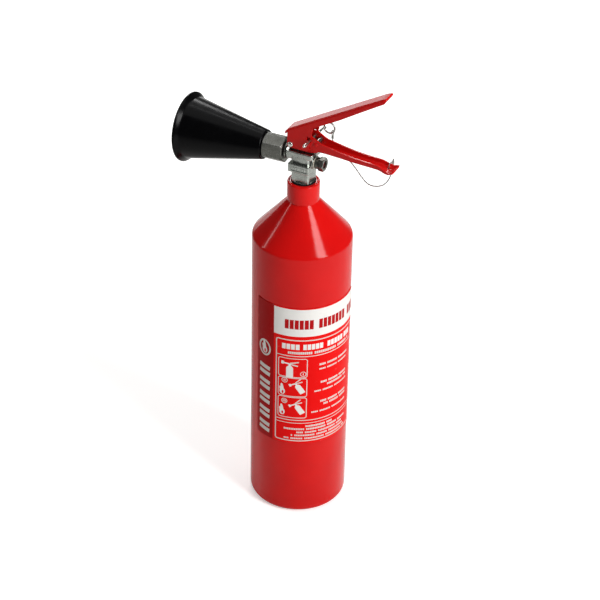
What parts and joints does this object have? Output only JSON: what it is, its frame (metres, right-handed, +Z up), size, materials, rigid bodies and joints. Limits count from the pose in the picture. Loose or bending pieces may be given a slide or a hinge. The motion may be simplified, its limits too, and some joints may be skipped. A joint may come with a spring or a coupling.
{
  "type": "carbon dioxide fire extinguisher",
  "caption": "Portable gas fire extinguisher: steel cylinder with a conical shoulder, squeeze-grip valve, fixed side discharge horn, safety pin with ring, and a wire lanyard.",
  "frame": {"origin": "centre of the cylinder's flat base, on the floor it stands on", "axes": "+Z up along the cylinder's axis; +X towards the tips of the two grips; -X towards the discharge horn; -Y the side with the label's middle, +Y the side the safety pin pulls out to"},
  "size_m": [0.2429, 0.1087, 0.5321],
  "materials": {
    "red_paint": "gloss stoved enamel",
    "label_vinyl": "printed vinyl",
    "nickel": "nickel plated",
    "zinc": "zinc plated",
    "steel": "bright",
    "brass": "turned",
    "copper_foil": "lacquered",
    "black_plastic": "moulded, satin",
    "rubber": "moulded",
    "nylon": "turned"
  },
  "bodies": {
    "root": {"cylinder_shell": "red_paint", "neck_ring": "red_paint", "instruction_label": "label_vinyl", "valve_body": "nickel", "neck_seal": "rubber", "stem_spring": "steel", "spring_retainer": "brass", "stem_o_ring": "rubber", "gland_nut": "brass", "tube_adapter": "brass", "siphon_tube": "nickel", "burst_disc_plug": "nickel", "burst_disc": "copper_foil", "burst_washer": "rubber", "outlet_spigot": "nickel", "horn_coupling": "zinc", "discharge_horn": "black_plastic", "horn_nozzle": "brass", "carry_handle": "red_paint", "pivot_rivet": "steel", "rear_rivet": "red_paint", "lanyard": "steel", "lanyard_handle_eye": "steel", "lanyard_handle_ferrule": "steel"},
    "lever": {"operating_lever": "red_paint"},
    "stem": {"valve_stem": "steel", "seat_washer": "nylon"},
    "pin": {"safety_pin": "steel"},
    "ring": {"pull_ring": "steel", "lanyard_pin_eye": "steel", "lanyard_pin_ferrule": "steel"}
  },
  "joints": [
    {"name": "lever_squeeze", "type": "hinge", "parent": "root", "child": "lever", "pos_m": [-0.0118, 0, 0.452], "axis": [0, 1, 0], "range_deg": [0, 7], "stiffness_Nm_per_rad": 0.8, "springref_deg": -9.17},
    {"name": "stem_press", "type": "slide", "parent": "root", "child": "stem", "axis": [0, 0, -1], "range_m": [0, 0.003], "deforming": ["stem_spring"]},
    {"name": "pin_pull", "type": "slide", "parent": "root", "child": "pin", "axis": [0, 1, 0], "range_m": [0, 0.045]},
    {"name": "ring_swing", "type": "hinge", "parent": "pin", "child": "ring", "pos_m": [0.01, 0.0255, 0.4618], "axis": [0, 0, 1], "range_deg": [-45, 225]}
  ],
  "couplings": [
    {"joint": "stem_press", "follows": "lever_squeeze", "m_per_rad": 0.02365}
  ]
}
